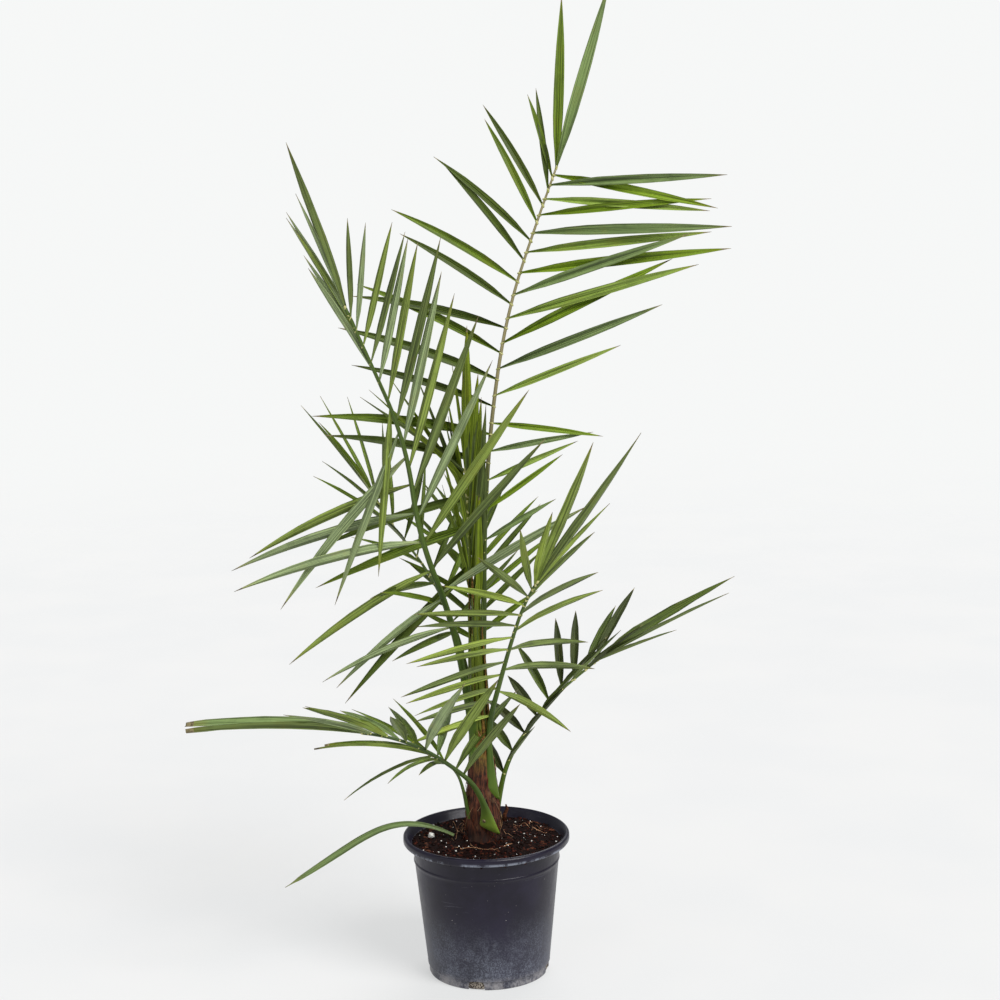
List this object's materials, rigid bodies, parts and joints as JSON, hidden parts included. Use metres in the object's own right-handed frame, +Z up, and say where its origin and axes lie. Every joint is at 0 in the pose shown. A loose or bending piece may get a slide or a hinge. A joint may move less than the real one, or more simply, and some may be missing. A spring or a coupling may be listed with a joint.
{
  "type": "young potted date palm",
  "caption": "Young date palm in a tapered nursery pot: a short fibrous trunk with long arching fronds of narrow folded leaflets.",
  "frame": {"origin": "middle of the pot's flat underside", "axes": "+Z up the plant, +X to the right and +Y away as seen from the side that shows the low seedling leaf at the left"},
  "size_m": [0.7899, 0.5533, 1.4113],
  "materials": {
    "pot_plastic": "satin",
    "peat": "matte",
    "trunk_fibre": "matte",
    "frond": "satin",
    "young_frond": "satin"
  },
  "bodies": {
    "root": {"pot": "pot_plastic", "soil": "peat", "trunk": "trunk_fibre", "tall_frond": "frond", "left_frond": "frond", "right_frond": "frond", "low_right_frond": "frond", "low_left_frond": "frond", "back_left_frond": "frond", "spear_frond": "young_frond", "second_low_left_frond": "frond", "back_frond": "frond", "seedling_leaf": "frond"}
  },
  "joints": []
}
